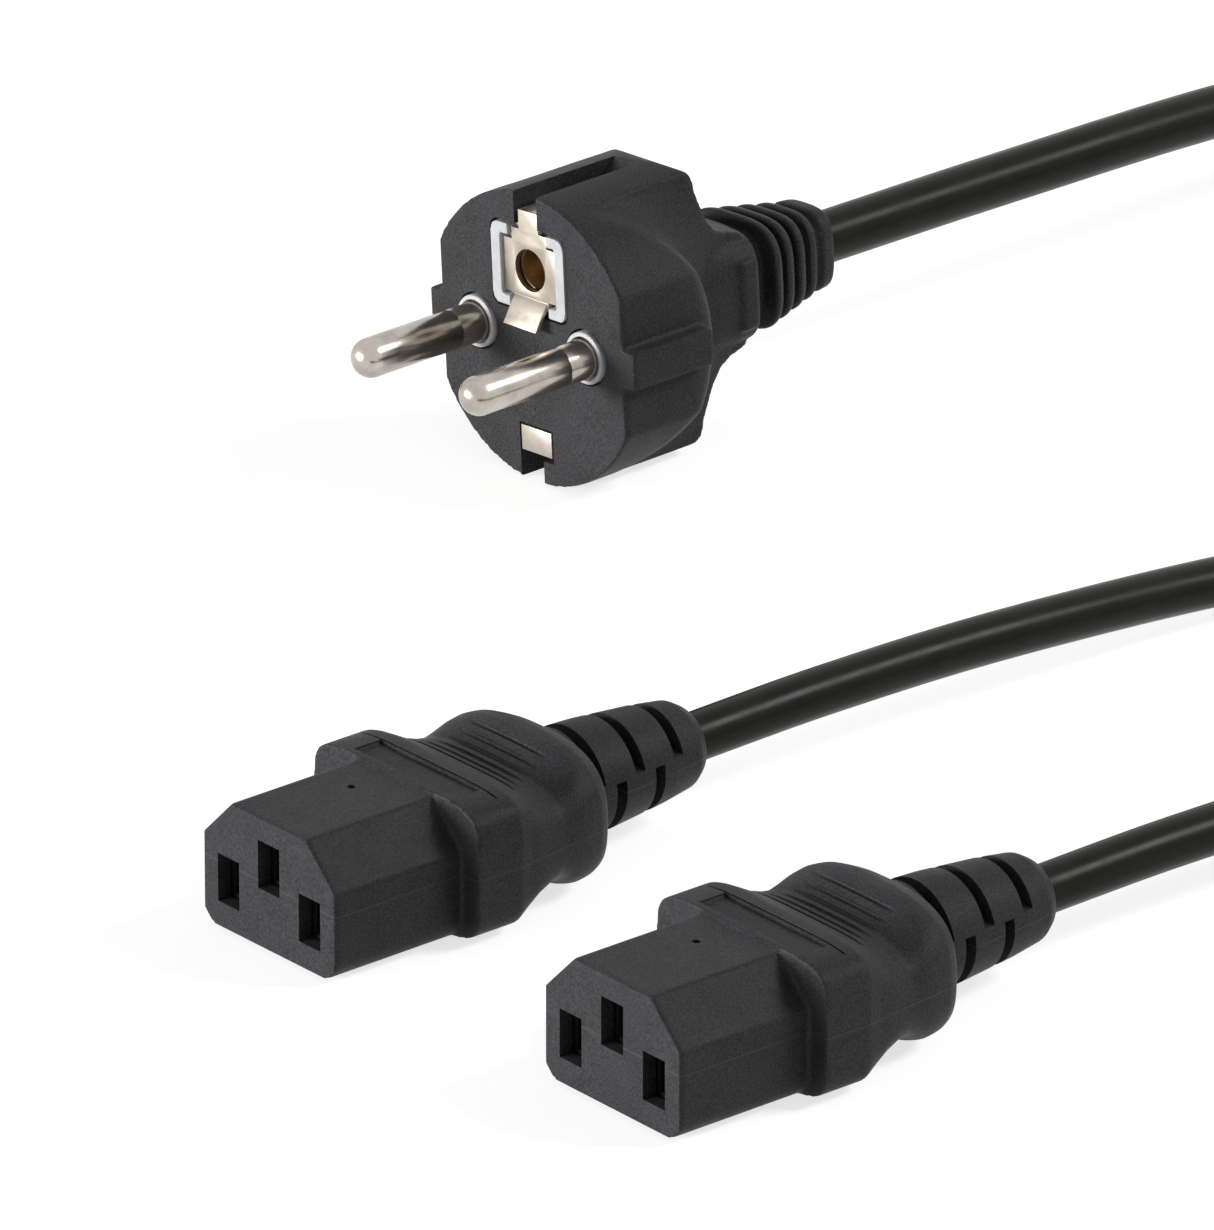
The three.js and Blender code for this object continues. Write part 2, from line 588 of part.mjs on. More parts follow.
function makeCords() {
  const rest = mainCord / 2;
  const legRest = legCord / 2;
  const outerTurn = coil.radius + mainCord / 2;
  const bundle = mainCord + coil.ease;
  const ringProfile = (grow) => [
    new THREE.Vector2(coil.radius - bundle - grow, -grow),
    new THREE.Vector2(coil.radius + bundle + grow, -grow),
    new THREE.Vector2(coil.radius + bundle + grow, 2 * mainCord + coil.ease + grow),
    new THREE.Vector2(coil.radius - bundle - grow, 2 * mainCord + coil.ease + grow),
    new THREE.Vector2(coil.radius - bundle - grow, -grow),
  ];
  const ring = (grow = 0) => {
    const lathe = new THREE.LatheGeometry(ringProfile(grow), 40);
    return solidOf(lathe.rotateX(Math.PI / 2)).translate([coil.x, coil.y, 0]);
  };
  const fromPlug = tube([
    out(places.plug, 0, plug.end + clearance, 0),
    out(places.plug, 0, plug.end + 30, -0.4),
    out(places.plug, 0, plug.end + 70, -1.6),
    [coil.x - outerTurn - 0.3, 158, 12.5],
    [coil.x - outerTurn, 184, 5.8],
    [coil.x - outerTurn, 206, rest + 0.2],
    [coil.x - outerTurn, coil.y - 4, rest + 0.1],
  ], mainCord, 22);
  const blockTail = block.length + block.boot + clearance;
  const high = rest + mainCord;
  const toBlock = tube([
    [coil.x + 4, coil.y + outerTurn, high],
    [coil.x + 18, coil.y + outerTurn, high - 1.5],
    [coil.x + 36, coil.y + outerTurn - 1.5, rest + 0.8],
    [coil.x + 52, coil.y + outerTurn - 8, rest + 0.4],
    [coil.x + 64, coil.y + outerTurn - 19, rest + 1.6],
    [places.block.x, places.block.y + blockTail + 7, places.block.z],
    [places.block.x, places.block.y + blockTail, places.block.z],
  ], mainCord, 20);
  const leg = (place, side, bow) => {
    const start = out(place, 0, connector.end + clearance, connector.middle);
    const x = places.block.x + side * block.legSpacing / 2;
    const y = places.block.y - block.boot - clearance;
    return tube([
      start,
      out(place, 0, connector.end + 20, connector.middle + 0.2),
      out(place, 0, connector.end + 50, connector.middle - 0.8),
      [start[0] + bow, start[1] + 96, legRest + 0.9],
      [x + bow * 0.5, y - 44, legRest + 0.4],
      [x, y - 18, places.block.z - 1.8],
      [x, y - 7, places.block.z],
      [x, y, places.block.z],
    ], legCord, 28);
  };
  return new THREE.Group().add(
    meshOf('main_cord_front', cut(fromPlug, ring(clearance)), cordBlack),
    meshOf('main_cord_coil', ring(), cordBlack),
    meshOf('main_cord_rear', cut(toBlock, ring(clearance)), cordBlack),
    meshOf('leg_cord_first', leg(places.first, -1, 2), cordBlack),
    meshOf('leg_cord_second', leg(places.second, 1, 2), cordBlack),
  );
}

// The set stands on the floor with its origin under the middle of the moulded pieces
const mouldings = new THREE.Group().add(
  makePlug(),
  makeConnector('first_connector', places.first),
  makeConnector('second_connector', places.second),
  makeBlock(),
);
const bounds = new THREE.Box3().setFromObject(mouldings, true);
const middle = bounds.getCenter(new THREE.Vector3());
const cordSet = new THREE.Group().add(mouldings, makeCords());
cordSet.position.set(-middle.x, -middle.y, -bounds.min.z);

export default cordSet;
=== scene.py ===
import math

import bmesh
import bpy
from mathutils import Matrix, Vector


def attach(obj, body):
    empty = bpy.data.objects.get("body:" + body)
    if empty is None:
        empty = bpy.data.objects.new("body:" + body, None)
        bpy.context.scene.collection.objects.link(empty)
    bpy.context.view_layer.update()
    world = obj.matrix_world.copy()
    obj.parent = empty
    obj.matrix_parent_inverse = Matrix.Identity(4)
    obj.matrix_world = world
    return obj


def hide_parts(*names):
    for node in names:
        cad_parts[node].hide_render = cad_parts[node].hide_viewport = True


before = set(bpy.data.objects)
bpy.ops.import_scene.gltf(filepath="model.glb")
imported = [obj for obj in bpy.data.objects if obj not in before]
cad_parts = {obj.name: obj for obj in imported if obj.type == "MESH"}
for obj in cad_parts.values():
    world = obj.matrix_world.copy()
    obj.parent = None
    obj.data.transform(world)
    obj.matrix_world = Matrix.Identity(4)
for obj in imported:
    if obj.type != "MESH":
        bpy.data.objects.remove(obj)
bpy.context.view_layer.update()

scene = bpy.context.scene

# where each moulded piece lies, in millimetres and degrees: middle of its contact face, turn on the floor, roll
layout = {
    "shift": (-31.3233, -68.07, 0.0),
    "plug": ((-35.3, 18.8, 18.0), 1.4, -3.6),
    "first": ((46.4, -88.8, 6.5), -0.3, 0.0),
    "second": ((101.6, -86.6, 6.5), -0.9, 0.0),
    "block": ((72.0, 170.0, 6.6), 0.0, 0.0),
}


def placeOf(name):
    at, turn, roll = layout[name]
    where = Vector(layout["shift"]) + Vector(at)
    turned = Matrix.Rotation(math.radians(turn), 4, "Z") @ Matrix.Rotation(math.radians(roll), 4, "Y")
    return Matrix.Scale(0.001, 4) @ Matrix.Translation(where) @ turned


def spot(name, x, y, z):
    return placeOf(name) @ Vector((x, y, z))


def floorSpot(x, y, z):
    return (Vector(layout["shift"]) + Vector((x, y, z))) * 0.001


# camera
viewpoint = {"target": (-0.0313233, -0.06807, 0.0), "away": (1.3546, -1.1642, 0.7855), "lens": 496.97}
camera = bpy.data.objects.new("camera", bpy.data.cameras.new("camera"))
scene.collection.objects.link(camera)
camera.location = Vector(viewpoint["target"]) + Vector(viewpoint["away"])
camera.rotation_euler = (-Vector(viewpoint["away"])).to_track_quat("-Z", "Y").to_euler()
camera.data.lens = viewpoint["lens"]
camera.data.sensor_width = 36.0
camera.data.clip_start = 0.05
scene.camera = camera


# node helpers for materials
def addNode(tree, kind, **settings):
    node = tree.nodes.new(kind)
    for key, value in settings.items():
        setattr(node, key, value)
    return node


def link(tree, start, end):
    tree.links.new(start, end)


def mathNode(tree, operation, first, second=0.0):
    node = addNode(tree, "ShaderNodeMath", operation=operation)
    for socket, value in zip(node.inputs, (first, second)):
        if isinstance(value, (int, float)):
            socket.default_value = value
        else:
            link(tree, value, socket)
    return node.outputs[0]


def newMaterial(name):
    material = bpy.data.materials.new(name)
    material.use_nodes = True
    tree = material.node_tree
    return material, tree, tree.nodes["Principled BSDF"], addNode(tree, "ShaderNodeTexCoord").outputs["Object"]


def noise(tree, coords, size, detail=2.0, rough=0.5):
    node = addNode(tree, "ShaderNodeTexNoise")
    node.inputs["Scale"].default_value = 1.0 / size  # size of a grain in metres
    node.inputs["Detail"].default_value = detail
    node.inputs["Roughness"].default_value = rough
    link(tree, coords, node.inputs["Vector"])
    return node.outputs["Fac"]


def paint(tree, shader, fac, dark, pale, low=0.35, high=0.65):
    # dark below the low level of the noise, pale above the high one
    node = addNode(tree, "ShaderNodeValToRGB")
    for element, place, colour in zip(node.color_ramp.elements, (low, high), (dark, pale)):
        element.position = place
        element.color = (*colour, 1)
    link(tree, fac, node.inputs["Fac"])
    link(tree, node.outputs["Color"], shader.inputs["Base Color"])


def spread(tree, fac, low, high, lowTo, highTo):
    node = addNode(tree, "ShaderNodeMapRange")
    for key, value in zip(("From Min", "From Max", "To Min", "To Max"), (low, high, lowTo, highTo)):
        node.inputs[key].default_value = value
    link(tree, fac, node.inputs["Value"])
    return node.outputs["Result"]


def roughen(tree, shader, fac, ends, low=0.35, high=0.65):
    link(tree, spread(tree, fac, low, high, *ends), shader.inputs["Roughness"])


def bump(tree, shader, height, distance, strength=1.0):
    node = addNode(tree, "ShaderNodeBump")
    node.inputs["Strength"].default_value = strength
    node.inputs["Distance"].default_value = distance
    link(tree, height, node.inputs["Height"])
    link(tree, node.outputs["Normal"], shader.inputs["Normal"])


# matte moulded plastic with a fine eroded grain
mouldedLook = {
    "dark": (0.018, 0.0175, 0.019),
    "pale": (0.062, 0.0605, 0.065),
    "grain": 0.00026,
    "mottle": 0.004,
    "grainShare": 0.75,  # the mottle has the rest
    "depth": 0.00004,
    "roughness": (0.46, 0.58),
    "specular": 0.12,
    # the mould line is raised by a bump and also painted paler: partly real, partly a painted highlight
    "seamAndHighlight": (0.00005, 0.00016),  # half width of the mould line: full, and where it has faded
    "seamAndHighlightHeight": 0.0085,
}

carrierLook = {**mouldedLook, "dark": (0.008, 0.008, 0.009), "pale": (0.014, 0.014, 0.015)}


def mouldedBlack(name, look=mouldedLook, withSeamHighlight=False):
    material, tree, shader, coords = newMaterial(name)
    grain = noise(tree, coords, look["grain"], 3.0, 0.6)
    mottle = noise(tree, coords, look["mottle"], 4.0, 0.6)
    fine = mathNode(tree, "MULTIPLY", grain, look["grainShare"])
    coarse = mathNode(tree, "MULTIPLY", mottle, 1 - look["grainShare"])
    both = mathNode(tree, "ADD", fine, coarse)
    if withSeamHighlight:
        # fine raised line where the two halves of the mould met; it is also painted paler than the plastic
        # around it, a painted highlight for the light its ridge catches
        axes = addNode(tree, "ShaderNodeSeparateXYZ")
        link(tree, coords, axes.inputs["Vector"])
        above = mathNode(tree, "SUBTRACT", axes.outputs["Z"], look["seamAndHighlightHeight"])
        seamAndHighlight = spread(tree, mathNode(tree, "ABSOLUTE", above), *look["seamAndHighlight"], 1.0, 0.0)
        # painted highlight: the mould line's colour is lifted towards the pale tone
        both = mathNode(tree, "MAXIMUM", both, mathNode(tree, "MULTIPLY", seamAndHighlight, 0.8))
        # the raise of the mould line itself, as a bump
        grain = mathNode(tree, "ADD", grain, seamAndHighlight)
    paint(tree, shader, both, look["dark"], look["pale"], 0.36, 0.64)
    roughen(tree, shader, mottle, look["roughness"])
    shader.inputs["Specular IOR Level"].default_value = look["specular"]
    bump(tree, shader, grain, look["depth"], 0.7)
    return material


# smooth black jacket of the cords
jacketLook = {
    "dark": (0.0065, 0.0065, 0.005),
    "pale": (0.0095, 0.0095, 0.0075),
    "mottle": 0.006,
    "grain": 0.0006,
    "depth": 0.00002,
    "roughness": (0.28, 0.36),
    "specular": 0.13,
}


def cordJacket(name, look):
    material, tree, shader, coords = newMaterial(name)
    mottle = noise(tree, coords, look["mottle"], 3.0, 0.55)
    paint(tree, shader, mottle, look["dark"], look["pale"])
    roughen(tree, shader, mottle, look["roughness"])
    shader.inputs["Specular IOR Level"].default_value = look["specular"]
    bump(tree, shader, noise(tree, coords, look["grain"]), look["depth"], 0.35)
    return material


# pale grey plastic, which lets a little light in
greyLook = {
    "dark": (0.54, 0.545, 0.56),
    "pale": (0.62, 0.625, 0.64),
    "mottle": 0.0016,
    "grain": 0.0003,
    "depth": 0.00002,
    "roughness": (0.4, 0.55),
    "inside": 0.08,
    "reach": 0.001,
}


def paleInsulator(name, look):
    material, tree, shader, coords = newMaterial(name)
    mottle = noise(tree, coords, look["mottle"], 3.0, 0.6)
    paint(tree, shader, mottle, look["dark"], look["pale"])
    roughen(tree, shader, mottle, look["roughness"])
    shader.inputs["Subsurface Weight"].default_value = look["inside"]
    shader.inputs["Subsurface Radius"].default_value = (look["reach"],) * 3
    bump(tree, shader, noise(tree, coords, look["grain"]), look["depth"], 0.4)
    return material


metalLooks = {
    "nickel": {
        "dark": (0.4, 0.36, 0.315), "pale": (0.52, 0.475, 0.425), "roughness": (0.17, 0.26), "scratch": 0.3,
    },
    "strip": {"dark": (0.4, 0.355, 0.3), "pale": (0.5, 0.45, 0.39), "roughness": (0.32, 0.46), "scratch": 0.5},
    "brass": {"dark": (0.3, 0.2, 0.1), "pale": (0.46, 0.32, 0.17), "roughness": (0.3, 0.5), "scratch": 0.4},
}

# what the metals share: sizes of mottle and scratches, how far a scratch is drawn along the pin, its depth
metalGrain = {"mottle": 0.003, "scratch": 0.00022, "along": 0.08, "depth": 0.000012}


def drawnMetal(name, kind):
    look = metalLooks[kind]
    material, tree, shader, coords = newMaterial(name)
    stretch = addNode(tree, "ShaderNodeMapping")
    stretch.inputs["Scale"].default_value = (1.0, metalGrain["along"], 1.0)
    link(tree, coords, stretch.inputs["Vector"])
    scratch = noise(tree, stretch.outputs["Vector"], metalGrain["scratch"], 4.0, 0.6)
    mottle = noise(tree, coords, metalGrain["mottle"], 3.0, 0.6)
    paint(tree, shader, mottle, look["dark"], look["pale"])
    roughen(tree, shader, scratch, look["roughness"], 0.3, 0.7)
    shader.inputs["Metallic"].default_value = 1.0
    bump(tree, shader, scratch, metalGrain["depth"], look["scratch"])
    return material


conductorLook = {
    "line": ((0.13, 0.055, 0.025), (0.19, 0.085, 0.04)),
    "neutral": ((0.02, 0.08, 0.3), (0.035, 0.12, 0.42)),
    "earth": ((0.12, 0.3, 0.03), (0.62, 0.5, 0.03)),
}

conductorSkin = {"mottle": 0.0014, "depth": 0.00002, "roughness": 0.45}


def conductorInsulation(name, role):
    material, tree, shader, coords = newMaterial(name)
    mottle = noise(tree, coords, conductorSkin["mottle"])
    paint(tree, shader, mottle, *conductorLook[role], 0.44, 0.56)
    shader.inputs["Roughness"].default_value = conductorSkin["roughness"]
    bump(tree, shader, mottle, conductorSkin["depth"], 0.4)
    return material


blackPlastic = mouldedBlack("moulded_black")
# moulded black with the mould line raised and painted paler along it, a painted highlight
seamHighlightPlastic = mouldedBlack("seam_highlight_black", withSeamHighlight=True)
carrierPlastic = mouldedBlack("carrier_black", carrierLook)
jacket = cordJacket("cord_jacket", jacketLook)
palePlastic = paleInsulator("pale_insulator", greyLook)
nickel = drawnMetal("nickel_plate", "nickel")
stripMetal = drawnMetal("strip_plate", "strip")
brass = drawnMetal("plain_brass", "brass")
conductors = {role: conductorInsulation(f"{role}_insulation", role) for role in conductorLook}
print("materials made")


# cords, laid before the other pieces
cordSizes = {
    "mainDiameter": 6.4,
    "legDiameter": 5.8,
    "plugEnd": 44.0,
    "connectorEnd": 60.0,
    "connectorMiddle": 2.0,
    "blockTail": 55.3,
    "blockFront": 15.3,
    "legSpacing": 13.0,
    "legBow": 2.0,
    "coilMiddle": (2.0, 236.0),
    "coilRadius": 36.0,
    "coilTurns": (2, 4.25),  # turns on the floor, and turns in all
    "coilPoints": 19,  # points in one turn
    "coilStart": 2,  # first of them, where the straight part comes in
    "coilClimb": (1.95, 0.3),  # turn where the upper layer starts, and how long it climbs
    "coilLift": 0.4,
    "gap": 0.3,
}


def flowing(points, count):
    # even points on a smooth line through the chosen ones
    knots = [Vector(p) for p in points]
    knots = [2 * knots[0] - knots[1]] + knots + [2 * knots[-1] - knots[-2]]
    line = []
    for i in range(1, len(knots) - 2):
        a, b, c, d = knots[i - 1 : i + 3]
        before, here, after = (max((q - p).length, 1e-9) ** 0.5 for p, q in ((a, b), (b, c), (c, d)))
        leave = ((b - a) / before - (c - a) / (before + here) + (c - b) / here) * here
        arrive = ((c - b) / here - (d - b) / (here + after) + (d - c) / after) * here
        for step in range(16):
            t = step / 16
            line.append(
                b * (2 * t**3 - 3 * t**2 + 1) + leave * (t**3 - 2 * t**2 + t)
                + c * (3 * t**2 - 2 * t**3) + arrive * (t**3 - t**2)
            )
    line.append(knots[-2])
    along = [0.0]
    for p, q in zip(line, line[1:]):
        along.append(along[-1] + (q - p).length)
    even = []
    for i in range(count):
        goal = along[-1] * i / (count - 1)
        j = next(k for k in range(1, len(along)) if along[k] >= goal - 1e-9)
        share = (goal - along[j - 1]) / max(along[j] - along[j - 1], 1e-12)
        even.append(line[j - 1].lerp(line[j], share))
    return even


def routeLength(points):
    return sum((q - p).length for p, q in zip(points, points[1:]))


def makeCord(name, points, diameter):
    curve = bpy.data.curves.new(name, "CURVE")
    curve.dimensions = "3D"
    curve.resolution_u = 6
    curve.bevel_depth = diameter / 2000  # metres
    curve.bevel_resolution = 6
    curve.use_fill_caps = True
    spline = curve.splines.new("BEZIER")
    spline.bezier_points.add(len(points) - 1)
    for knot, point in zip(spline.bezier_points, points):
        knot.co = point
        knot.handle_left_type = knot.handle_right_type = "AUTO"
    piece = bpy.data.objects.new(name, curve)
    scene.collection.objects.link(piece)
    curve.materials.append(jacket)
    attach(piece, "root")
    return piece


def coilRoute():
    # two layers of a flat spiral: inwards on the floor, then outwards on top of it
    cx, cy = cordSizes["coilMiddle"]
    pitch = cordSizes["mainDiameter"]
    outer = cordSizes["coilRadius"] + pitch
    low = pitch / 2 + cordSizes["coilLift"]
    lower, turns = cordSizes["coilTurns"]
    lifts, over = cordSizes["coilClimb"]
    perTurn = cordSizes["coilPoints"]
    points = []
    for i in range(cordSizes["coilStart"], int(turns * perTurn) + 1):
        turn = i / perTurn
        radius = outer - pitch * turn if turn < lower else outer - lower * pitch + pitch * (turn - lower)
        climb = min(max((turn - lifts) / over, 0.0), 1.0)
        height = low + pitch * climb * climb * (3 - 2 * climb)
        angle = math.pi - 2 * math.pi * turn
        points.append(floorSpot(cx + radius * math.cos(angle), cy + radius * math.sin(angle), height))
    return points


def mainRoute():
    cx, cy = cordSizes["coilMiddle"]
    outer = cordSizes["coilRadius"] + cordSizes["mainDiameter"]
    left = cx - outer
    rest = cordSizes["mainDiameter"] / 2
    end = cordSizes["plugEnd"]
    front = [
        spot("plug", 0, end + cordSizes["gap"], 0),
        spot("plug", 0, end + 30, -0.4),
        spot("plug", 0, end + 70, -1.6),
        floorSpot(left - 0.3, 158, 12.5),
        floorSpot(left, 184, 5.8),
        floorSpot(left, 206, rest + 0.4),
        floorSpot(left, cy - 6, rest + 0.3),
    ]
    bx, by, bz = layout["block"][0]
    tail = by + cordSizes["blockTail"]
    rear = [
        floorSpot(cx + 14, cy + 44.2, 9.6),
        floorSpot(cx + 28, cy + 39.6, 7.6),
        floorSpot(cx + 41, cy + 31, 4.8),
        floorSpot(cx + 52, cy + 21, 3.8),
        floorSpot(cx + 62, cy + 10, 4.4),
        floorSpot(bx - 1.6, tail + 15, 5.8),
        floorSpot(bx, tail + 7, bz),
        floorSpot(bx, tail, bz),
    ]
    return flowing(front, 18) + coilRoute() + flowing(rear, 16)


def legRoute(name, side, bow):
    end = cordSizes["connectorEnd"]
    middle = cordSizes["connectorMiddle"]
    start = spot(name, 0, end + cordSizes["gap"], middle)
    bx, by, bz = layout["block"][0]
    x = bx + side * cordSizes["legSpacing"] / 2
    y = by - cordSizes["blockFront"]
    rest = cordSizes["legDiameter"] / 2
    first = start * 1000 - Vector(layout["shift"])
    return flowing([
        start,
        spot(name, 0, end + 20, middle + 0.2),
        spot(name, 0, end + 50, middle - 0.8),
        floorSpot(first.x + bow, first.y + 96, rest + 0.9),
        floorSpot(x + bow * 0.5, y - 44, rest + 0.4),
        floorSpot(x, y - 18, bz - 1.8),
        floorSpot(x, y - 7, bz),
        floorSpot(x, y, bz),
    ], 24)


mainPoints = mainRoute()
mainCord = makeCord("mainCord", mainPoints, cordSizes["mainDiameter"])
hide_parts("main_cord_front", "main_cord_coil", "main_cord_rear")
legPoints = {name: legRoute(name, side, cordSizes["legBow"]) for name, side in (("first", -1), ("second", 1))}
legCords = {
    name: makeCord(f"{name}LegCord", points, cordSizes["legDiameter"]) for name, points in legPoints.items()
}
for name, piece in legCords.items():
    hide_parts(f"leg_cord_{name}")
print("cords laid: main", round(routeLength(mainPoints), 3), "m, legs",
      [round(routeLength(points), 3) for points in legPoints.values()])


# shaping helpers: millimetres, with each contact face at y = 0 looking towards -Y
def pieceFrom(name, bm):
    mesh = bpy.data.meshes.new(name)
    bm.to_mesh(mesh)
    bm.free()
    piece = bpy.data.objects.new(name, mesh)
    scene.collection.objects.link(piece)
    return piece


def solid(name, build, **sizes):
    bm = bmesh.new()
    build(bm, **sizes)
    bmesh.ops.recalc_face_normals(bm, faces=bm.faces)
    return pieceFrom(name, bm)


def cube(bm, size, at):
    bmesh.ops.create_cube(bm, size=1.0, matrix=Matrix.Translation(at) @ Matrix.Diagonal((*size, 1)))


def bar(bm, diameter, length, lie, sides, frontDiameter=None):
    narrow = diameter if frontDiameter is None else frontDiameter
    bmesh.ops.create_cone(
        bm, cap_ends=True, segments=sides, radius1=diameter / 2, radius2=narrow / 2, depth=length, matrix=lie
    )


def rod(bm, diameter, front, back, x=0.0, z=0.0, sides=72, frontDiameter=None):
    # round bar along Y
    lie = Matrix.Translation((x, (front + back) / 2, z)) @ Matrix.Rotation(math.pi / 2, 4, "X")
    bar(bm, diameter, back - front, lie, sides, frontDiameter)


def crossBar(bm, diameter, width, y, z):
    bar(bm, diameter, width, Matrix.Translation((0, y, z)) @ Matrix.Rotation(math.pi / 2, 4, "Y"), 16)


def peg(bm, diameter, depth, at):
    bar(bm, diameter, depth, Matrix.Translation(at), 24)


def outline(bm, points):
    made = bmesh.ops.create_circle(bm, cap_ends=True, radius=1.0, segments=len(points))["verts"]
    for vert, point in zip(made, points):
        vert.co = point
    return made[0].link_faces[0]


def newVerts(made):
    return [item for item in made["geom"] if isinstance(item, bmesh.types.BMVert)]


def drawOut(bm, face, move):
    made = bmesh.ops.extrude_face_region(bm, geom=[face], use_keep_orig=True)
    bmesh.ops.translate(bm, vec=move, verts=newVerts(made))


def prism(bm, points, front, back):
    drawOut(bm, outline(bm, [(x, front, z) for x, z in points]), (0, back - front, 0))


def slab(bm, points, width, middle=0.0):
    drawOut(bm, outline(bm, [(middle - width / 2, y, z) for y, z in points]), (width, 0, 0))


def loft(bm, stations, sides=72):
    # rounded sections along Y: place, half width, half height, squareness, height of the middle
    rings = []
    for y, wide, high, square, z in stations:
        made = bmesh.ops.create_circle(bm, cap_ends=False, radius=1.0, segments=sides)["verts"]
        for vert in made:
            across, up = vert.co.x, vert.co.y
            vert.co = (
                math.copysign(abs(across) ** (2 / square), across) * wide, y,
                z + math.copysign(abs(up) ** (2 / square), up) * high,
            )
        rings.append(list({edge for vert in made for edge in vert.link_edges}))
    for first, second in zip(rings, rings[1:]):
        bmesh.ops.bridge_loops(bm, edges=first + second)
    for end in (rings[0], rings[-1]):
        bmesh.ops.holes_fill(bm, edges=end, sides=0)


def bake(piece):
    made = bpy.data.meshes.new_from_object(piece.evaluated_get(bpy.context.evaluated_depsgraph_get()))
    old = piece.data
    piece.modifiers.clear()
    piece.data = made
    bpy.data.meshes.remove(old)


def combine(piece, operation, *tools):
    for tool in tools:
        step = piece.modifiers.new("join", "BOOLEAN")
        step.operation = operation
        step.solver = "EXACT"
        step.object = tool
    bake(piece)
    for tool in tools:
        bpy.data.objects.remove(tool)


def moulded(name, voxel, rounds, *parts):
    # overlapping closed forms melt into one skin with softly rounded edges
    bm = bmesh.new()
    for part in parts:
        bm.from_mesh(part.data)
        bpy.data.objects.remove(part)
    piece = pieceFrom(name, bm)
    skin = piece.modifiers.new("skin", "REMESH")
    skin.mode = "VOXEL"
    skin.voxel_size = voxel
    soften = piece.modifiers.new("soften", "SMOOTH")
    soften.factor = 0.5
    soften.iterations = rounds
    bake(piece)
    return piece


def softEdges(piece, width, sides=3, angle=28.0):
    step = piece.modifiers.new("edge", "BEVEL")
    step.width = width
    step.segments = sides
    step.limit_method = "ANGLE"
    step.angle_limit = math.radians(angle)
    bake(piece)


def finishPiece(piece, where, material, node, sharp=35.0):
    piece.data.transform(placeOf(where))
    piece.data.materials.clear()
    piece.data.materials.append(material)
    piece.data.shade_smooth()
    piece.data.set_sharp_from_angle(angle=math.radians(sharp))
    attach(piece, "root")
    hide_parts(node)


def roundedBox(width, height, radius, x=0.0, z=0.0, steps=8):
    points = []
    for corner, (sx, sz) in enumerate(((1, 1), (-1, 1), (-1, -1), (1, -1))):
        for i in range(steps + 1):
            angle = math.pi / 2 * (corner + i / steps)
            points.append((
                x + sx * (width / 2 - radius) + radius * math.cos(angle),
                z + sz * (height / 2 - radius) + radius * math.sin(angle),
            ))
    return points


# plug: body with finger scoops, and the ribbed relief behind it
plug = {
    "radius": 18.0,
    "flat": 15.9,  # from the middle to each side flat
    "rib": 4.6,  # height of the guide rib on each flat
    "web": 12.4,  # width of the upright web between the scoops
    "webTop": 20.0,
    "scoopEnd": 25.5,
    "earRadius": 18.3,
    "earMiddle": -2.8,
    "earRound": (2.5, 3.0),  # round-over of the ear's rim: inwards, and along the cord
    "notchWidth": 4.0,
    "notchFloor": (14.6, 12.0, 16.5),  # height, where it ends, where its slope comes out
    "notchShift": {1: -0.2, -1: -0.9},  # top and bottom
    "lug": (16.8, 2.9, 8.8),
    "lugMiddle": 27.1,
    "neck": [(12, 7.4, 7.4, 4, 0), (26, 7.9, 7.2, 4, 0), (28.9, 7.9, 6.9, 4, 0), (29.0, 5.6, 5.2, 4, 0)],
    "neckEnd": (4.0, 4.1),
    "end": 44.0,
    "pinHalf": 9.5,  # from the middle to each pin
    "pin": 4.8,
    "pinLength": 19.0,
    "collar": 6.4,
    "socketUp": 8.4,
    "socketBore": 5.2,
    "frame": (12.6, 10.2),
    "bridge": (2.6, 11.0, 26.8),  # front, back and diameter
    "gap": 0.3,
    "reach": 2.0,  # how far a cutting form runs past what it cuts
    "coreBore": 6.0,
    "voxel": 0.3,
}

plugRelief = {
    "count": 5,
    "front": 31.6,
    "pitch": 2.5,
    "length": 1.5,
    "wide": (7.9, 0.75),  # half width, and what each next rib loses
    "high": (6.9, 0.4),
    "square": 3.4,
    "edge": 0.3,
}


def discOutline(count=60):
    radius, flat, rib = plug["radius"], plug["flat"], plug["rib"] / 2
    start = math.acos(flat / radius)
    edge = math.sqrt(radius**2 - rib**2)
    points = [(radius * math.cos(a), radius * math.sin(a))
              for a in (start + (math.pi - 2 * start) * i / count for i in range(count + 1))]
    points += [(-flat, rib), (-edge, rib), (-edge, -rib), (-flat, -rib)]
    points += [(-x, -z) for x, z in points[: count + 1]]
    return points + [(flat, -rib), (edge, -rib), (edge, rib), (flat, rib)]


def rearOutline():
    radius, top = plug["radius"], plug["webTop"]
    upper = [(8, radius + 1, 0), (14, radius + 0.4, 0), (17.6, radius - 0.2, 0), (top, radius - 1.4, 0)]
    lower = [(top + 0.4, radius - 2.4, 0), (top + 1.1, 12.6, 0), (top + 3.2, 8.9, 0), (top + 8, 7, 0)]
    half = [(-1.0, radius + 1)] + [(p.x, p.y) for p in flowing(upper, 24) + flowing(lower, 30)]
    return half + [(y, -z) for y, z in reversed(half)]


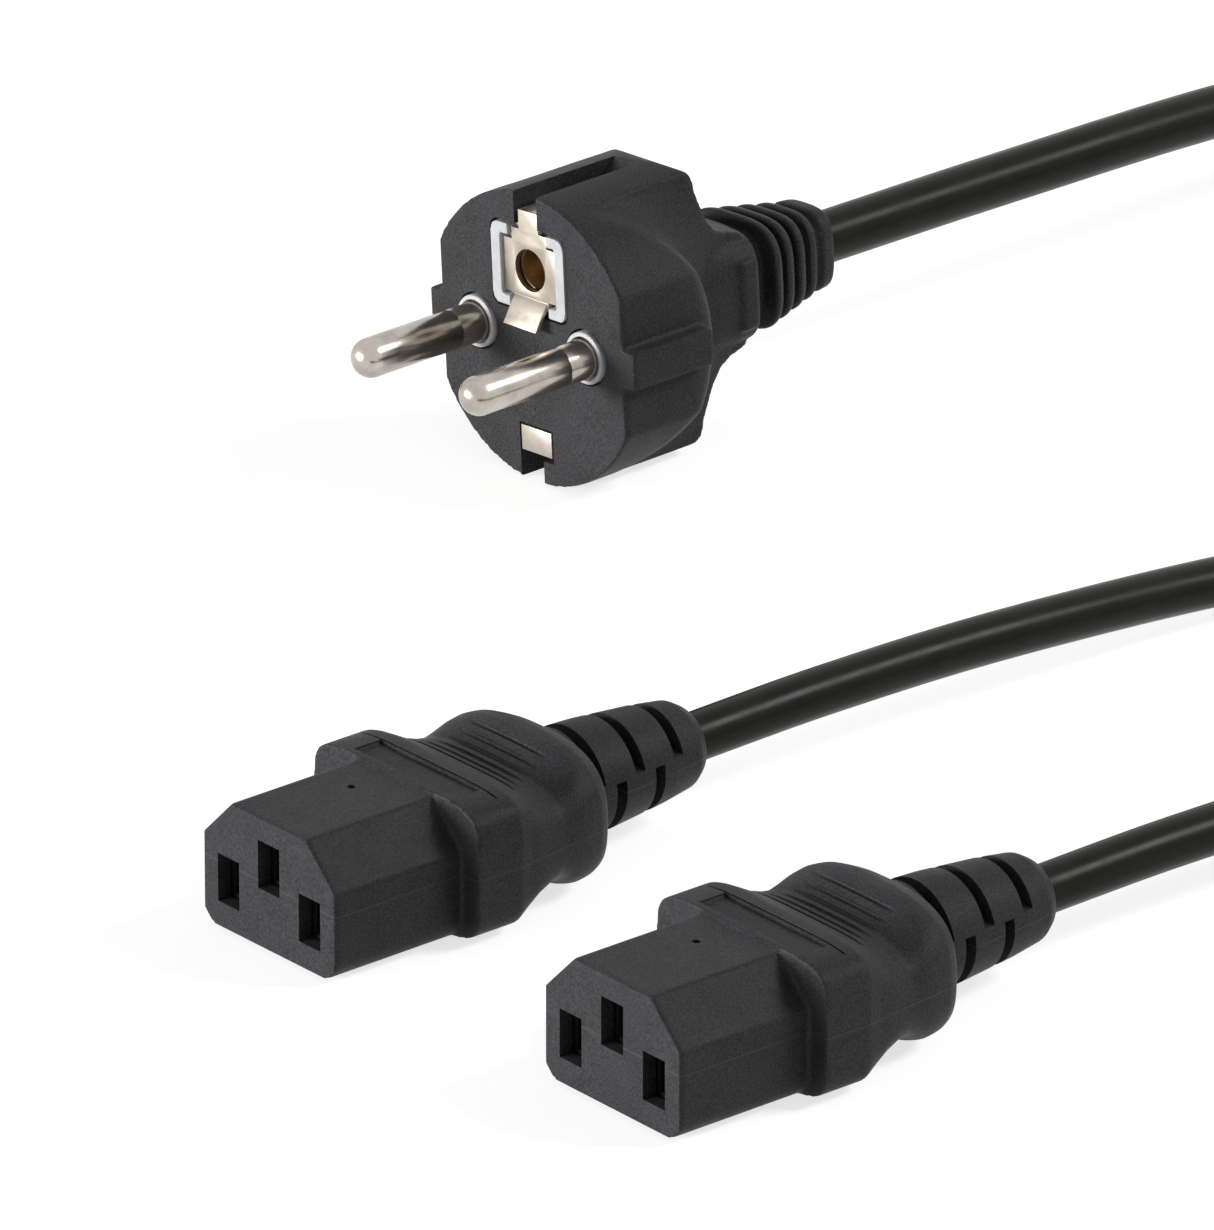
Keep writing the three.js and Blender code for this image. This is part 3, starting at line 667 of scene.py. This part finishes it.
def scoop(bm, side, levels=72, along=30):
    # the hollow behind one ear: rounds over the ear's rim, then sweeps in to the web
    radius, inner, reach = plug["radius"], plug["web"] / 2, plug["reach"]
    roundIn, roundBack = plug["earRound"]
    bmesh.ops.create_grid(bm, x_segments=along, y_segments=levels, size=1.0)
    for vert in bm.verts:
        step = round((vert.co.x + 1) / 2 * along)
        z = vert.co.y * (radius + reach)
        skin = max(min(plug["flat"], math.sqrt(max(radius**2 - z**2, 0))), inner + 1)
        depth = -reach if step == 0 else (skin - inner) * ((step - 1) / (along - 1)) ** 1.5
        rim = plug["earMiddle"] + math.sqrt(max(plug["earRadius"] ** 2 - z**2, 16))
        over = 1 - min(max(depth / roundIn, 0), 1)
        swept = max(depth, 0) / (skin - inner)
        front = rim - roundBack * (1 - math.sqrt(1 - over**2)) + (plug["scoopEnd"] - rim) * swept**5
        vert.co = (side * (skin - depth), front, z)
    made = bmesh.ops.extrude_face_region(bm, geom=list(bm.faces), use_keep_orig=True)
    for vert in newVerts(made):
        vert.co.y = plug["end"]


def notch(bm, side):
    radius, reach = plug["radius"], plug["reach"]
    floor, level, out = plug["notchFloor"]
    points = [
        (-reach, floor), (level, floor), (out, radius + 0.4), (out, radius + reach), (-reach, radius + reach),
    ]
    slab(bm, [(y, z * side) for y, z in points], plug["notchWidth"], middle=plug["notchShift"][side])


def reliefRib(i):
    square, edge = plugRelief["square"], plugRelief["edge"]
    front = plugRelief["front"] + plugRelief["pitch"] * i
    back = plug["end"] if i == plugRelief["count"] - 1 else front + plugRelief["length"]
    wide, high = (first - less * i for first, less in (plugRelief["wide"], plugRelief["high"]))
    return solid(f"reliefRib{i}", loft, stations=[
        (front, wide - edge, high - edge, square, 0),
        (front + edge, wide, high, square, 0),
        (back - edge, wide - 0.25, high - 0.15, square, 0),
        (back, wide - 0.6, high - 0.5, square, 0),
    ])


def plugShell():
    end = plug["end"]
    barrel = solid("barrel", prism, points=discOutline(), front=0.0, back=plug["scoopEnd"])
    combine(barrel, "DIFFERENCE", solid("scoopRight", scoop, side=1), solid("scoopLeft", scoop, side=-1))
    combine(barrel, "INTERSECT", solid("rearLimit", slab, points=rearOutline(), width=2 * plug["radius"] + 2))
    web = solid("web", slab, points=rearOutline(), width=plug["web"])
    combine(web, "INTERSECT", solid("round", rod, diameter=2 * plug["radius"], front=0.0, back=end, sides=120))
    neck = solid("neck", loft, stations=plug["neck"] + [(end - 0.6, *plug["neckEnd"], 4, 0)])
    lugs = solid("lugs", cube, size=plug["lug"], at=(0, plug["lugMiddle"], 0))
    softEdges(lugs, 0.5)
    ribs = [reliefRib(i) for i in range(plugRelief["count"])]
    return moulded("plugBody", plug["voxel"], 4, barrel, web, neck, lugs, *ribs)


def plugRoom():
    # what the bridge, strap, pins and conductors need
    wide, high = plug["frame"]
    front, back, diameter = plug["bridge"]
    gap, up, half, out = plug["gap"], plug["socketUp"], plug["pinHalf"], -plug["reach"]
    collar = plug["collar"] + 2 * gap
    frameSeat = roundedBox(wide + 2 * gap, high + 2 * gap, 1.4, 0, up)
    return [
        solid("frameSeat", prism, points=frameSeat, front=out, back=front + 1),
        solid("lipSeat", cube, size=(4.0, 3.4, 1.8), at=(-0.2, -0.3, 14.2)),
        solid("rightSeat", rod, diameter=collar, front=out, back=front + 1, x=half),
        solid("leftSeat", rod, diameter=collar, front=out, back=front + 1, x=-half),
        solid("bridgeSeat", rod, diameter=diameter + 2 * gap, front=front - gap, back=back + gap),
        solid("tailSeat", cube, size=(5.8, 2.2, 20.5), at=(0, 1.9, -4.75)),
        solid("tabSeat", cube, size=(5.8, 3.0, 4.1), at=(0, -0.5, -12.95)),
        solid("terminalRoom", loft, stations=[
            (back - 1, 12.8, 12.8, 2, 0), (back + 1, 12.8, 12.8, 2, 0), (13.4, 12.2, 12.2, 2, 0),
        ]),
        solid("sleeveRoom", rod, diameter=7.0, front=back, back=15.7, z=up),
        solid("core", rod, diameter=plug["coreBore"], front=13.0, back=plug["end"] + 2),
        solid("topNotch", notch, side=1),
        solid("bottomNotch", notch, side=-1),
    ]


def makePlugBody():
    body = plugShell()
    combine(body, "DIFFERENCE", *plugRoom())
    finishPiece(body, "plug", blackPlastic, "plug_overmould")


# insulating bridge: a disc behind the face, with the socket's frame and a collar for each pin
bridge = {
    "plateRoom": ((6.6, 3.2, 14.0), (0, -0.4, 9.0)),  # size and middle
    "shoulderRoom": ((9.4, 3.2, 7.6), (0, -0.4, 8.4)),
    "tongueRoom": ((5.8, 4.6, 5.0), (0, 0.3, 2.5)),
    "frameFront": -0.2,
    "collarFront": -0.5,
    "voxel": 0.18,
}


def bridgeCut(name):
    size, at = bridge[name]
    return solid(name, cube, size=size, at=at)


def makePlugBridge():
    wide, high = plug["frame"]
    front, back, diameter = plug["bridge"]
    up, half, gap, out = plug["socketUp"], plug["pinHalf"], plug["gap"], -plug["reach"]
    frameEdge = roundedBox(wide, high, 1.2, 0, up)
    face = solid("bridgeFrame", prism, points=frameEdge, front=bridge["frameFront"], back=front + 0.2)
    combine(face, "DIFFERENCE", bridgeCut("plateRoom"), bridgeCut("shoulderRoom"), bridgeCut("tongueRoom"))
    disc = solid("bridgeDisc", rod, diameter=diameter, front=front, back=back)
    collars = [solid("collar", rod, diameter=plug["collar"], front=bridge["collarFront"], back=front + 1, x=x)
               for x in (-half, half)]
    body = moulded("plugBridge", bridge["voxel"], 3, disc, face, *collars)
    pinBore = plug["pin"] + 2 * gap
    combine(
        body, "DIFFERENCE",
        solid("socketRoom", rod, diameter=plug["socketBore"] + 1.8, front=0.0, back=back + 2, z=up),
        solid("leftPinRoom", rod, diameter=pinBore, front=out, back=back + 2, x=-half),
        solid("rightPinRoom", rod, diameter=pinBore, front=out, back=back + 2, x=half),
        bridgeCut("tongueRoom"),
    )
    finishPiece(body, "plug", palePlastic, "plug_bridge")


# earth strap, folded from one strip
strap = {
    # part: (size, middle); the first is the piece that the others join
    "plugStrap": ((8.8, 0.7, 6.6), (0, 0.55, 8.4)),
    "plateTop": ((6.0, 0.7, 9.2), (0, 0.55, 8.6)),
    "plateNeck": ((3.4, 0.7, 2.5), (0, 0.55, 14.3)),
    "lip": ((3.4, 7.0, 0.7), (0, 3.7, 15.3)),
    "step": ((5.2, 2.1, 0.7), (0, 1.25, 4.35)),
    "tail": ((5.2, 0.7, 19.0), (0, 1.95, -4.8)),
    "tab": ((5.2, 2.3, 3.1), (0, 1.15, -12.75)),
}

tongue = {
    "width": 5.6,
    "side": [(0.9, 4.7), (0.2, 4.9), (-0.3, 4.4), (-0.8, 3.6), (-1.35, 2.7), (-1.9, 1.9), (-1.3, 1.6),
             (-0.75, 2.6), (-0.2, 3.4), (0.3, 3.85), (0.9, 4.0)],
}


def makeStrap():
    piece, *rest = (solid(name, cube, size=size, at=at) for name, (size, at) in strap.items())
    combine(piece, "UNION", *rest, solid("tongue", slab, points=tongue["side"], width=tongue["width"]))
    hole = solid("hole", rod, diameter=plug["socketBore"], front=-1.0, back=1.2, z=plug["socketUp"], sides=64)
    combine(piece, "DIFFERENCE", hole)
    softEdges(piece, 0.14, 2)
    finishPiece(piece, "plug", stripMetal, "plug_earth_strap")


# pins, with a domed tip and a faint ring near the face
pinShape = {
    "dome": 2.2,
    "steps": 12,
    "ring": (-4.5, -4.4, -4.2, -4.1),
    "ringDepth": 0.03,
    "waist": 11.6,
    "tail": (1.3, 13.0),  # radius and end
}


def turnedPin(bm, side):
    radius, length = plug["pin"] / 2, plug["pinLength"]
    waist, (tailRadius, tail), (a, b, c, d) = pinShape["waist"], pinShape["tail"], pinShape["ring"]
    profile = [(0.0, -length)]
    for i in range(1, pinShape["steps"] + 1):
        angle = math.pi / 2 * i / pinShape["steps"]
        profile.append((radius * math.sin(angle), -length + pinShape["dome"] * (1 - math.cos(angle))))
    low = radius - pinShape["ringDepth"]
    profile += [(radius, a), (low, b), (low, c), (radius, d), (radius, waist)]
    profile += [(tailRadius, waist), (tailRadius, tail), (0.0, tail)]
    verts = [bm.verts.new((r, y, 0)) for r, y in profile]
    edges = [bm.edges.new(pair) for pair in zip(verts, verts[1:])]
    bmesh.ops.spin(
        bm, geom=verts + edges, cent=(0, 0, 0), axis=(0, 1, 0), angle=2 * math.pi, steps=64, use_merge=True
    )
    bmesh.ops.remove_doubles(bm, verts=bm.verts, dist=1e-5)
    bmesh.ops.translate(bm, vec=(side * plug["pinHalf"], 0, 0), verts=bm.verts)


def makePins():
    for side, role in ((-1, "line"), (1, "neutral")):
        pin = solid(f"{role}Pin", turnedPin, side=side)
        finishPiece(pin, "plug", nickel, f"plug_{role}_pin", 50.0)


# springy sleeve behind the earth socket
sleeveShape = {"wall": 0.6, "front": 1.2, "back": 15.4, "floor": 13.6, "slot": ((0.8, 9.0, 5.2), (0, 3.7, 5.2))}


def makeSleeve():
    up, bore = plug["socketUp"], plug["socketBore"]
    front, back, (slotSize, slotAt) = sleeveShape["front"], sleeveShape["back"], sleeveShape["slot"]
    sleeve = solid("earthSleeve", rod, diameter=bore + 2 * sleeveShape["wall"], front=front, back=back, z=up)
    combine(
        sleeve, "DIFFERENCE",
        solid("bore", rod, diameter=bore - 0.2, front=front - plug["reach"], back=sleeveShape["floor"], z=up),
        solid("springSlot", cube, size=slotSize, at=slotAt),
    )
    softEdges(sleeve, 0.12, 2, 50)
    finishPiece(sleeve, "plug", brass, "plug_earth_sleeve")


makePlugBody()
print("plug body made")
makePlugBridge()
makeStrap()
makePins()
makeSleeve()
print("plug contacts made")


# appliance connectors: heights from the line through the two outer slots
connector = {
    "width": 22.9,
    "top": 9.7,
    "bottom": -6.0,
    "chamfer": 5.0,
    "corner": 2.6,
    "front": 18.1,  # where the nose meets the grip
    "middle": 2.0,  # height of the cord
    "wall": 1.9,
    "skin": 1.8,  # behind the face, before the carrier
    "carrierEnd": 20.0,
    "gap": 0.3,
    "slots": ((-7.0, 0.0), (0.0, 4.0), (7.0, 0.0)),
    "slot": (3.7, 5.8),
    "end": 60.0,
    "coreBore": 6.0,
    "voxel": 0.28,
    # place, half width, half height, squareness, lift above the middle
    "grip": [
        (18.1, 14.3, 8.2, 6, 0), (24.4, 14.3, 8.2, 6, 0), (24.9, 14.2, 8.1, 5.6, 0), (26, 14.0, 7.6, 5, 0),
        (27.2, 13.9, 7.0, 4.4, 0), (28, 13.8, 6.7, 4, 0), (30, 13.5, 6.3, 3.4, 0), (31.6, 13.3, 6.4, 3, 0),
        (33, 13.2, 7.1, 2.9, 0.1), (34.4, 13.1, 8.1, 2.8, 0.1), (35.8, 12.9, 8.6, 2.8, 0.1),
        (37.4, 12.6, 8.5, 2.8, 0.1), (38.6, 12.0, 8.1, 2.8, 0), (39.5, 11.0, 7.7, 2.8, 0),
        (40.2, 9.0, 7.2, 2.8, 0),
    ],
    "relief": [
        (36.2, 7.0, 6.9, 2, 0), (46, 6.7, 6.5, 2, 0), (54, 5.9, 5.8, 2, 0), (58.2, 5.3, 5.2, 2, 0),
        (59.5, 4.5, 4.4, 2, 0), (60, 3.9, 3.9, 2, 0),
    ],
}

connectorMarks = {
    "panel": (17.4, 2.0, 0.5, 8.7),  # width, height and middle of the recess in the flange
    "panelEnds": (19.0, 22.8),
    "fold": ((24.0, 0.28, 1.2), 22.95, 8.3),  # size, place and height
    "gripLine": (0.7, 18.0),  # diameter and width
    "gripLines": (27.7, 1.3),  # first place and pitch
    "gripRises": (6.75, 6.5, 6.35, 6.45, 7.05, 7.9),
    "slotPlaces": (41.5, 3.05, 1.5),  # first place, pitch and width of the relief's slots
    "slotCount": 5,
    "slotSides": (7.6, -4.6),  # slots from above and from below, in turn
    "slotCore": 7.6,
    "dot": (1.0, 0.8, -1.3, 12.9),  # diameter, depth and place on the nose
}


def noseOutline(inset=0.0):
    w = connector["width"] / 2 - inset
    high, low = connector["top"] - inset, connector["bottom"] + inset
    c = connector["chamfer"] - inset * (2 - math.sqrt(2))
    r = max(connector["corner"] - inset, 0.6)
    points = [(w, high - c), (w - c, high), (-w + c, high), (-w, high - c)]
    for start, x in ((math.pi, -w + r), (1.5 * math.pi, w - r)):
        points += [(x + r * math.cos(start + a), low + r + r * math.sin(start + a))
                   for a in (math.pi / 2 * i / 10 for i in range(11))]
    return points


def lifted(stations):
    return [(y, wide, high, square, connector["middle"] + lift) for y, wide, high, square, lift in stations]


def reliefSlot(i):
    first, pitch, width = connectorMarks["slotPlaces"]
    z, y = connector["middle"], first + pitch * i
    ring = solid(f"reliefSlot{i}", rod, diameter=18.0, front=y, back=y + width, z=z)
    core = solid("slotCore", rod, diameter=connectorMarks["slotCore"], front=y - 1, back=y + 3, z=z)
    combine(ring, "DIFFERENCE", core)
    height = z + connectorMarks["slotSides"][i % 2]
    combine(ring, "INTERSECT", solid("slotHalf", cube, size=(20, 4, 12), at=(0, y + 1, height)))
    return ring


def flangeMarks():
    z = connector["middle"]
    width, height, x, up = connectorMarks["panel"]
    front, back = connectorMarks["panelEnds"]
    foldSize, foldAt, foldUp = connectorMarks["fold"]
    return [
        solid("panel", prism, points=roundedBox(width, height, 0.4, x, z + up), front=front, back=back),
        solid("fold", cube, size=foldSize, at=(0, foldAt, z + foldUp)),
    ]


def gripLines():
    diameter, width = connectorMarks["gripLine"]
    first, pitch = connectorMarks["gripLines"]
    return [solid(f"gripLine{i}", crossBar, diameter=diameter, width=width, y=first + pitch * i,
                  z=connector["middle"] + rise) for i, rise in enumerate(connectorMarks["gripRises"])]


def connectorRoom():
    # the mouth of each slot, the carrier's room and the conductors' way to the cord
    wide, high = connector["slot"]
    z, end, bore = connector["middle"], connector["end"], connector["coreBore"] / 2
    room = [solid(f"leadIn{i}", cube, size=(wide, 4.3, high), at=(x, 0.15, up))
            for i, (x, up) in enumerate(connector["slots"])]
    room.append(solid(
        "carrierRoom", prism, points=noseOutline(connector["wall"]), front=connector["skin"],
        back=connector["carrierEnd"] + connector["gap"],
    ))
    room.append(solid("core", loft, sides=40, stations=[
        (19, 9.6, 5.6, 3.4, 1.6), (27, 7.4, 5.0, 2.4, 1.8), (35.5, bore, bore, 2, z),
        (end + 2, bore, bore, 2, z),
    ]))
    return room


def makeConnectors():
    nose = solid("nose", prism, points=noseOutline(), front=0.0, back=connector["front"] + 3)
    grip = solid("grip", loft, sides=120, stations=lifted(connector["grip"]))
    relief = solid("relief", loft, stations=lifted(connector["relief"]))
    body = moulded("firstConnectorBody", connector["voxel"], 3, nose, grip, relief)
    diameter, depth, x, y = connectorMarks["dot"]
    dot = solid("dot", peg, diameter=diameter, depth=depth, at=(x, y, connector["top"]))
    slots = [reliefSlot(i) for i in range(connectorMarks["slotCount"])]
    combine(body, "DIFFERENCE", *flangeMarks(), *gripLines(), *slots, *connectorRoom(), dot)
    twin = bpy.data.objects.new("secondConnectorBody", body.data.copy())
    scene.collection.objects.link(twin)
    for piece, name in ((body, "first"), (twin, "second")):
        finishPiece(piece, name, seamHighlightPlastic, f"{name}_connector_overmould")


makeConnectors()
print("connectors made")


# splitter block with a boot for each cord
splitter = {
    "stations": [
        (0, 11.0, 5.6, 3.4, 0), (0.4, 11.6, 6.2, 3.4, 0), (1.2, 12, 6.6, 3.4, 0), (18, 12, 6.6, 3.4, 0),
        (24, 10.6, 6.6, 3.2, 0), (32, 8.16, 6.6, 3, 0), (39, 6.72, 6.34, 2.6, 0), (40, 5.76, 5.54, 2.6, 0),
    ],
    "root": (8.6, 10.8, 36.0, 55.0),  # diameters behind and in front, then front and back
    "leg": (10.0, 7.8, -15.0, 4.0),
    "legHalf": 6.5,
    "voxel": 0.4,
}


def boot(name, shape, x=0.0):
    behind, ahead, front, back = shape
    return solid(name, rod, diameter=behind, frontDiameter=ahead, front=front, back=back, x=x)


def makeSplitter():
    body = solid("blockBody", loft, sides=96, stations=splitter["stations"])
    root = boot("blockRoot", splitter["root"])
    legs = [boot(f"blockLeg{side}", splitter["leg"], side * splitter["legHalf"]) for side in (-1, 1)]
    piece = moulded("splitterBlock", splitter["voxel"], 3, body, root, *legs)
    finishPiece(piece, "block", blackPlastic, "splitter_block")


makeSplitter()
print("splitter block made")


# the inner pieces keep their own shape and take a finish
def innerFinish(name):
    if name.endswith("_carrier"):
        return carrierPlastic
    if name.endswith("_contact"):
        return brass
    return conductors[name.split("_")[-2]]


for name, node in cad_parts.items():
    if name.endswith(("_carrier", "_contact", "_lead")):
        for holder in node.material_slots:
            holder.material = innerFinish(name)
print("inner pieces finished")


# floor and light
studio = {
    "floor": 6.0,
    "floorShade": 0.82,
    "floorRough": 0.9,
    "floorGlow": 0.72,  # only for rays that come from the camera or a mirror
    "world": 0.16,
    "lamps": {
        # name: (place, looks at, width, height, watts)
        "frontLeft": ((-0.9, -1.9, 0.3), (0, 0, 0), 1.2, 0.5, 46.0),
        "backHigh": ((1.0, 1.1, 1.3), (0, 0, 0), 0.6, 0.5, 15.0),
    },
}


def whiteFor(tree):
    # camera, mirror and clear rays see white; the light on the object stays as it is
    rays = addNode(tree, "ShaderNodeLightPath").outputs
    seen = mathNode(tree, "MAXIMUM", rays["Is Camera Ray"], rays["Is Glossy Ray"])
    return mathNode(tree, "MAXIMUM", seen, rays["Is Transmission Ray"])


def makeFloor():
    bm = bmesh.new()
    bmesh.ops.create_grid(bm, x_segments=8, y_segments=8, size=studio["floor"])
    floor = pieceFrom("floor", bm)
    material = bpy.data.materials.new("floor_white")
    material.use_nodes = True
    tree = material.node_tree
    shader = tree.nodes["Principled BSDF"]
    shader.inputs["Base Color"].default_value = (*(studio["floorShade"],) * 3, 1)
    shader.inputs["Roughness"].default_value = studio["floorRough"]
    shader.inputs["Specular IOR Level"].default_value = 0.0
    shader.inputs["Emission Color"].default_value = (1, 1, 1, 1)
    glow = mathNode(tree, "MULTIPLY", whiteFor(tree), studio["floorGlow"])
    link(tree, glow, shader.inputs["Emission Strength"])
    floor.data.materials.append(material)


def makeWorld():
    world = bpy.data.worlds.new("studio")
    world.use_nodes = True
    scene.world = world
    tree = world.node_tree
    back = tree.nodes["Background"]
    back.inputs["Color"].default_value = (1, 1, 1, 1)
    link(tree, spread(tree, whiteFor(tree), 0.0, 1.0, studio["world"], 1.0), back.inputs["Strength"])


def makeLamps():
    for name, (place, target, width, height, watts) in studio["lamps"].items():
        lamp = bpy.data.lights.new(name, "AREA")
        lamp.shape = "RECTANGLE"
        lamp.size = width
        lamp.size_y = height
        lamp.energy = watts
        holder = bpy.data.objects.new(name, lamp)
        holder.location = place
        holder.rotation_euler = (Vector(target) - Vector(place)).to_track_quat("-Z", "Y").to_euler()
        scene.collection.objects.link(holder)


makeFloor()
makeWorld()
makeLamps()
scene.view_settings.view_transform = "Standard"
print("floor and lamps set")
